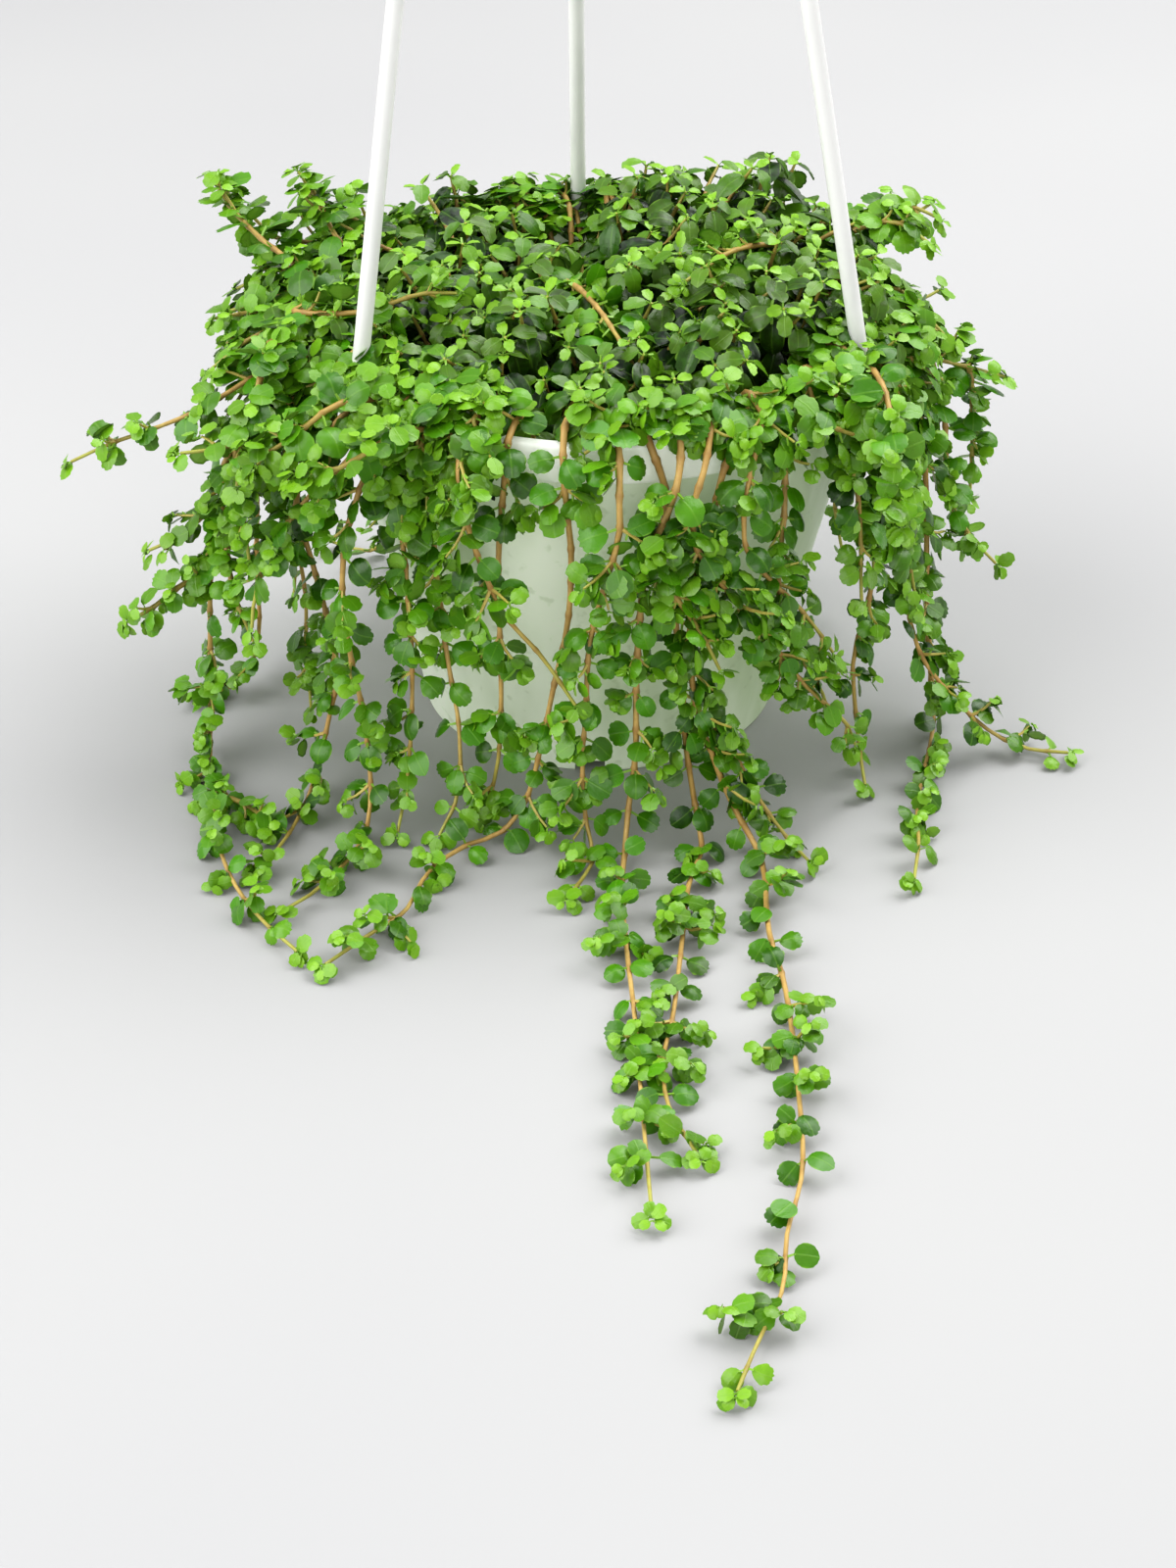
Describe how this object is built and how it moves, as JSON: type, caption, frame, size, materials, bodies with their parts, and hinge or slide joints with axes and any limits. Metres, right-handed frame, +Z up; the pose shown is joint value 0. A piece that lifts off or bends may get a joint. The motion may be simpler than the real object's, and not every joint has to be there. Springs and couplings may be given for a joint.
{
  "type": "potted pilea depressa",
  "caption": "Trailing houseplant with small round opposite leaves in a tapered plastic hanging pot with a three-rod hanger and hook; its stems spill over the rim and along the floor.",
  "frame": {"origin": "centre of the pot's underside, on the surface that it stands on", "axes": "+Z up towards the hanger's hook, -Y the front that the picture shows, +X to its right"},
  "size_m": [0.2931, 0.4473, 0.5252],
  "materials": {
    "pot": "satin, slightly see-through",
    "hanger": "satin",
    "soil": "crumbly potting mix",
    "foliage": "glossy fleshy leaves on tan stems"
  },
  "bodies": {
    "root": {"pot": "pot", "soil": "soil", "hanger_rod_rear": "hanger", "hanger_rod_left": "hanger", "hanger_rod_right": "hanger", "hanger_crown": "hanger", "stem_left_upper": "foliage", "stem_left_arching": "foliage", "stem_left_low": "foliage", "stem_left_reaching": "foliage", "stem_left_inner": "foliage", "stem_left_long": "foliage", "stem_left_yellow": "foliage", "stem_left_floor": "foliage", "stem_left_short": "foliage", "stem_front_left_floor": "foliage", "stem_front_left_hanging": "foliage", "stem_front_left_inner": "foliage", "stem_front_yellow_tip": "foliage", "stem_front_left_straight": "foliage", "stem_front_sweeping": "foliage", "stem_front_centre": "foliage", "stem_front_middle_inner": "foliage", "stem_front_middle": "foliage", "stem_front_right_hanging": "foliage", "stem_front_longest": "foliage", "stem_front_right_upper": "foliage", "stem_front_right_inner": "foliage", "stem_right_dense": "foliage", "stem_right_reaching": "foliage", "stem_right_floor": "foliage", "stem_right_spreading": "foliage", "stem_right_rear_low": "foliage", "stem_right_thin": "foliage", "stem_right_upper": "foliage", "stem_rear_right": "foliage", "stem_rear_right_floor": "foliage", "stem_rear_middle": "foliage", "stem_rear_left_floor": "foliage", "stem_rear_left": "foliage", "stem_rear_left_outer": "foliage", "stem_left_rear": "foliage", "stem_left_behind": "foliage", "tuft_middle": "foliage", "tuft_right": "foliage", "tuft_rear_right": "foliage", "tuft_rear_left": "foliage", "tuft_left": "foliage", "tuft_front_left": "foliage", "tuft_front_right": "foliage"}
  },
  "joints": []
}
